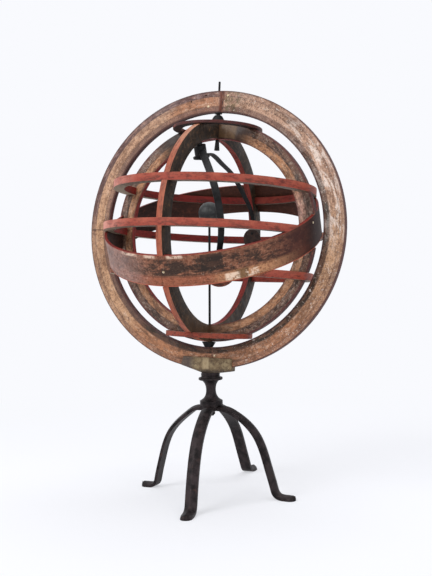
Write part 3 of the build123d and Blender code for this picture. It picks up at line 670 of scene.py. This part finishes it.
# heights are millimetres from the middle of the ecliptic, angles degrees around it
def bandPaint(look, seed):
    paint = Paint("band print")
    _, angle, rise, along = paint.around(eclipticFrame, 2)
    height = rise / mm
    streak = paint.noise(2, seed, 7, 0.72, along)
    mottle = paint.noise(6, seed + 1, 7, 0.76, paint.place(), 0.6)
    grain = paint.noise(0.9, seed + 2, 5, 0.72)
    left = angle.sector(-146, 38, 12)
    end = angle.sector(14, 42, 14)
    # near-black sector where the band turns away on the right: painted shade
    night = angle.sector(30, 38, 8)
    right = angle.sector(-40, 22, 7)
    foot = 1 - height.step(-6, -3)
    soot = paint.blots(11, seed + 3, 0.49, along, 0.05) * height.within(-4.5, 12.5, 2) * (1 - left * 0.75)
    square = angle.sector(-65, 5.4, 0.4) * height.within(-1.5, 14.5, 0.5)
    torn = paint.blots(5, seed + 4, 0.47, None, 0.03)
    lowTears = (angle.sector(-56, 3.4, 0.8) + angle.sector(-46, 3.2, 0.8)) * height.within(-13.4, -6.5, 0.8)
    highTears = angle.sector(-97, 3, 1) + angle.sector(-83, 4, 1) + angle.sector(-111, 5, 2)
    tears = (lowTears + highTears * height.step(12, 14.5)).least(1) * torn
    dots = abs((angle * 1.6).saw() - 0.5).over(0.3) * abs(height + 11.6).under(0.4)
    rules = sum(abs(height - line).under(0.18) for line in (-13.2, -5.6, 14.6)).least(1)
    bars = abs((angle * 0.9).saw() - 0.5).over(0.44) * height.within(-1, 14.4, 0.3)
    lines = bars * angle.sector(-82, 12, 3)
    worn = grain.step(0.38, 0.52)
    colour = paint.layers(
        look["brown"],
        (streak.step(0.42, 0.6) * 0.75, look["tan"]),
        (mottle.step(0.5, 0.62) * 0.6, look["rust"]),
        (foot * 0.6, look["orange"]),
        (left * 0.75, look["mauve"]),
        (left * paint.blots(8, seed + 8, 0.52, None, 0.08) * 0.7, look["slate"]),
        (foot * right * 0.85, look["ochre"]),
        (paint.blots(3, seed + 5, 0.54) * 0.6, look["rust"]),
        (soot * 0.9, look["soot"]),
        (square * 0.8, look["soot"]),
        (angle.sector(-51, 3, 0.6) * foot * 0.7, look["olive"]),
        (end * 0.85, look["end"]),
        # painted shade over the right end
        (night * 0.8, look["night"]),
        (paint.blots(2.4, seed + 7, 0.57) * 0.6, look["ink"]),
        (tears * 0.9, look["cream"]),
        ((dots + rules + lines * 0.6).least(1) * worn * 0.6, look["ink"]),
        (paint.blots(1.8, seed + 6, 0.63) * (1 - end * 0.8) * 0.6, look["cream"]),
        (height.step(15.1, 15.9) * 0.8, look["top"]),
        ((1 - height.step(-13.9, -13.3)) * 0.75, look["foot"]))
    bump = paint.bump(streak * 0.3 + grain * 0.35 + mottle * 0.4 + tears * 0.5, 0.22)
    roughness = 0.68 - mottle * 0.25 + end * 0.12
    return paint.finish(colour, roughness, bump, specular=look["specular"])


bandPiece = roundedCopy("eclipticBand", "ecliptic_band", bandLook["rounding"], eclipticFrame)
paintRing(bandPiece, eclipticFrame, edgePaint("band rim", eclipticFrame, edgeLooks["crimson"], 96.0),
          bandPaint(bandLook, 90.0),
          dustyPaint("band inside", eclipticFrame, dustyLooks["bandInside"], 98.0),
          roundingPaint("band rounding", shade(104, 46, 34), shade(190, 130, 102), 99.0))
mount(bandPiece, "ecliptic_band")
print("band ready")


# dark forged iron with brown bloom and rubbed highlights
def ironPaint(name, look, seed):
    paint = Paint(name)
    bloom = paint.noise(look["bloomSize"], seed, 6)
    pits = paint.noise(0.9, seed + 1, 5, 0.7)
    rust = paint.noise(5, seed + 2, 7, 0.75).step(0.56, 0.68)
    colour = paint.layers(
        look["black"],
        (bloom.step(0.35, 0.62), look["iron"]),
        (rust * look["rustShare"], look["rust"]),
        (paint.noise(1.6, seed + 3, 5).step(0.62, 0.7) * 0.4, look["worn"]))
    bump = paint.bump(pits * 0.6 + bloom * 0.4, 0.18)
    return paint.finish(colour, 0.4 + bloom * 0.22 + rust * 0.12, bump, 0.6 - rust * 0.4)


ironLooks = {
    "stand": {"bloomSize": 7, "black": shade(20, 16, 17), "iron": shade(52, 44, 45),
              "rust": shade(74, 46, 34), "worn": shade(118, 104, 100), "rustShare": 0.5},
    "arms": {"bloomSize": 6, "black": shade(19, 19, 20), "iron": shade(36, 36, 37),
             "rust": shade(52, 40, 34), "worn": shade(84, 82, 80), "rustShare": 0.25},
}

brassLook = {"bright": shade(240, 226, 196), "tarnished": shade(150, 122, 84)}


def brassPaint(name, look, seed):
    paint = Paint(name)
    tarnish = paint.noise(0.7, seed, 5).step(0.38, 0.62)
    colour = paint.mix(tarnish, look["bright"], look["tarnished"])
    return paint.finish(colour, 0.32 + tarnish * 0.28, paint.bump(paint.noise(0.4, seed + 1, 3), 0.05), 0.45)


# saddle: olive board with a paler strip, darker towards its foot and a dark left end, in millimetres from its
# left end and shares of its height
saddleLook = {
    "board": shade(112, 92, 66), "rubbed": shade(148, 130, 98), "stain": shade(74, 56, 42),
    "left": shade(74, 62, 60), "leftReach": (9, 17), "strip": shade(178, 158, 124),
    "stripStain": shade(128, 106, 74), "stripReach": (24.5, 31), "stripRise": (0.2, 0.3),
    # the dark colour and its rise on this line make the board darker towards its foot
    "soot": shade(42, 34, 31), "footDarkRise": (0.1, 0.36), "chip": shade(184, 162, 126),
}


def saddlePaint(name, look, seed):
    paint = Paint(name)
    low, high = joinedBox("saddle_cheek_front", "saddle_bed")
    spot = paint.split(paint.place())
    patches = paint.noise(7, seed, 7, 0.75, None, 0.5)
    grain = paint.noise(1.1, seed + 1, 6, 0.72)
    fromLeft = (spot[0] - low.x) / mm
    rise = (spot[2] - low.z) / (high.z - low.z)
    strip = fromLeft.within(*look["stripReach"], 0.8) * rise.step(*look["stripRise"])
    colour = paint.layers(
        look["board"],
        (patches.step(0.42, 0.6) * 0.85, look["rubbed"]),
        (paint.blots(4, seed + 4, 0.53) * 0.7, look["stain"]),
        ((1 - fromLeft.step(*look["leftReach"])) * 0.8, look["left"]),
        (strip * 0.8, look["strip"]),
        (strip * paint.blots(2.4, seed + 5, 0.52) * 0.6, look["stripStain"]),
        # darker towards the foot
        ((1 - rise.step(*look["footDarkRise"])) * 0.8, look["soot"]),
        (paint.blots(2.2, seed + 2, 0.6) * 0.6, look["chip"]))
    return paint.finish(colour, 0.7 - patches * 0.2, paint.bump(grain * 0.6 + patches * 0.4, 0.25))


ballLook = {"dark": shade(40, 42, 43), "rubbed": shade(74, 76, 74), "scratched": shade(116, 112, 104)}


# old dark paint on the ball, rubbed paler in patches and scratched
def ballPaint(name, look, seed):
    paint = Paint(name)
    rub = paint.noise(5, seed, 6).step(0.45, 0.7)
    scratch = paint.noise(0.8, seed + 1, 5)
    colour = paint.layers(
        look["dark"],
        (rub * 0.8, look["rubbed"]),
        (scratch.step(0.62, 0.68) * 0.5, look["scratched"]))
    return paint.finish(colour, 0.42 + rub * 0.2, paint.bump(scratch * 0.5 + rub * 0.5, 0.14))


discLooks = {
    "sun": {"dark": shade(66, 36, 28), "warm": shade(118, 64, 46), "pale": shade(160, 112, 84)},
    "moon": {"dark": shade(38, 28, 26), "warm": shade(62, 44, 38), "pale": shade(120, 104, 92)},
}


def discPaint(name, look, seed):
    paint = Paint(name)
    bloom = paint.noise(4, seed, 6, 0.7)
    colour = paint.layers(
        look["dark"],
        (bloom.step(0.4, 0.6), look["warm"]),
        (paint.noise(1.4, seed + 1, 5).step(0.6, 0.68) * 0.5, look["pale"]))
    return paint.finish(colour, 0.45 + bloom * 0.2, paint.bump(bloom, 0.18), 0.35)


# stand, pivots, nails and hands: the finish and the rounding in millimetres
standIron = ironPaint("stand iron", ironLooks["stand"], 110.0)
armIron = ironPaint("arm iron", ironLooks["arms"], 114.0)
nailBrass = brassPaint("nail brass", brassLook, 118.0)
saddleBoard = saddlePaint("saddle board", saddleLook, 120.0)
earthPaint = ballPaint("earth paint", ballLook, 124.0)
sunPaint = discPaint("sun gilding", discLooks["sun"], 126.0)
moonPaint = discPaint("moon paint", discLooks["moon"], 128.0)
fittings = {
    "side_legs": (standIron, 1.1), "fore_legs": (standIron, 1.1), "pillar": (standIron, 0.3),
    "tang": (standIron, 0.2), "tang_nut": (standIron, 0.2), "saddle_bed": (saddleBoard, 0.3),
    "saddle_cheek_front": (saddleBoard, 0.6), "saddle_cheek_back": (saddleBoard, 0.6),
    "saddle_pad": (standIron, 0.1), "meridian_nails": (nailBrass, 0.15), "north_pin": (armIron, 0.1),
    "north_bead": (armIron, 0.25), "north_peg": (armIron, 0.2), "south_knob": (armIron, 0.25),
    "earth_rod": (armIron, 0), "earth_ball": (earthPaint, 0), "ecliptic_nails": (nailBrass, 0.15),
    "pivot_pin": (armIron, 0.1), "pivot_washer": (armIron, 0.15), "sun_arm": (armIron, 0.25),
    "moon_arm": (armIron, 0.25), "sun_rivet": (armIron, 0.15), "moon_rivet": (armIron, 0.15),
    "sun_disc": (sunPaint, 0.25), "moon_disc": (moonPaint, 0.25),
}
shapes = {
    "side_legs": wearToes, "fore_legs": wearToes, "saddle_bed": trimShoe,
    "saddle_cheek_front": trimShoe, "saddle_cheek_back": trimShoe,
}
for node, (material, rounding) in fittings.items():
    words = node.split("_")
    if len(words) == 1:
        words.append("iron")
    name = words[0] + "".join(word.capitalize() for word in words[1:])
    piece = roundedCopy(name, node, rounding, shape=shapes.get(node))
    piece.data.materials.append(material)
    mount(piece, node)
print("stand and fittings ready")

# floor and backdrop: seen bright, with the shadow kept near the feet
studio = {
    "size": 14, "floor": shade(238, 239, 244), "cloud": shade(226, 228, 238), "cloudSize": 300,
    "cloudShare": 0.12, "seen": shade(249, 250, 254), "keep": 0.5, "near": 0.15, "far": 0.75,
    "sky": (0.97, 0.98, 1.0), "world": 0.58, "aim": (0, 0, 0.22),
    "lamps": {"key": ((-0.8, -1.4, 1.5), 1.2, 21), "fill": ((1.5, -1.1, 0.9), 1.4, 7),
              "top": ((0.1, 0.4, 1.7), 1.2, 11)},
}
bpy.ops.mesh.primitive_plane_add(size=studio["size"], location=(0, 0, 0))
floor = bpy.context.object
floor.name = "floor"
floorPaint = Paint("floor paper")
clouds = floorPaint.noise(studio["cloudSize"], 130.0, 3) * studio["cloudShare"]
floorPaint.finish(floorPaint.mix(clouds, studio["floor"], studio["cloud"]), 0.9)


# 1 for rays that see the backdrop straight, in a mirror or through glass
def seenStraight(tree):
    rays = tree.nodes.new("ShaderNodeLightPath")
    total = rays.outputs["Is Camera Ray"]
    for name in ("Is Glossy Ray", "Is Transmission Ray"):
        add = tree.nodes.new("ShaderNodeMath")
        add.use_clamp = True
        tree.links.new(total, add.inputs[0])
        tree.links.new(rays.outputs[name], add.inputs[1])
        total = add.outputs[0]
    return total


glow = floorPaint.tree.nodes.new("ShaderNodeEmission")
glow.inputs["Color"].default_value = (*studio["seen"], 1)
floorMix = floorPaint.tree.nodes.new("ShaderNodeMixShader")
spot = floorPaint.split(floorPaint.place())
far = (spot[0] * spot[0] + spot[1] * spot[1]).root().step(studio["near"], studio["far"])
share = Wire(floorPaint, seenStraight(floorPaint.tree)) * (1 - studio["keep"] + far * studio["keep"])
floorPaint.feed(floorMix.inputs[0], share)
floorPaint.tree.links.new(floorPaint.shader.outputs[0], floorMix.inputs[1])
floorPaint.tree.links.new(glow.outputs[0], floorMix.inputs[2])
floorPaint.tree.links.new(floorMix.outputs[0], floorPaint.tree.nodes["Material Output"].inputs["Surface"])
floor.data.materials.append(floorPaint.material)

world = bpy.data.worlds.new("studio")
bpy.context.scene.world = world
world.use_nodes = True
sky = world.node_tree
light = sky.nodes["Background"]
light.inputs["Color"].default_value = (*studio["sky"], 1)
light.inputs["Strength"].default_value = studio["world"]
seen = sky.nodes.new("ShaderNodeBackground")
seen.inputs["Color"].default_value = (*studio["seen"], 1)
blend = sky.nodes.new("ShaderNodeMixShader")
sky.links.new(seenStraight(sky), blend.inputs[0])
sky.links.new(light.outputs[0], blend.inputs[1])
sky.links.new(seen.outputs[0], blend.inputs[2])
sky.links.new(blend.outputs[0], sky.nodes["World Output"].inputs["Surface"])

for name, (place, size, power) in studio["lamps"].items():
    bpy.ops.object.light_add(type="AREA", location=place)
    lamp = bpy.context.object
    lamp.name = name + " lamp"
    lamp.data.shape = "DISK"
    lamp.data.size = size
    lamp.data.energy = power
    lamp.rotation_euler = (Vector(studio["aim"]) - Vector(place)).to_track_quat("-Z", "Y").to_euler()

# the camera stands where the photographer's did
shot = {"place": (0.39559, -0.87135, 0.2373), "turn": 24.21, "pitch": -1.93, "roll": -1.80,
        "lens": 59.375, "sensor": 36, "clip": 0.01}
bpy.ops.object.camera_add(location=shot["place"])
camera = bpy.context.object
camera.data.sensor_width = shot["sensor"]
camera.data.lens = shot["lens"]
camera.data.clip_start = shot["clip"]
turn = Matrix.Rotation(radians(shot["turn"]), 3, "Z")
pitch = Matrix.Rotation(pi / 2 + radians(shot["pitch"]), 3, "X")
roll = Matrix.Rotation(radians(shot["roll"]), 3, "Z")
camera.rotation_euler = (turn @ pitch @ roll).to_euler()
bpy.context.scene.camera = camera
bpy.context.scene.view_settings.view_transform = "Standard"
print("camera and light ready")
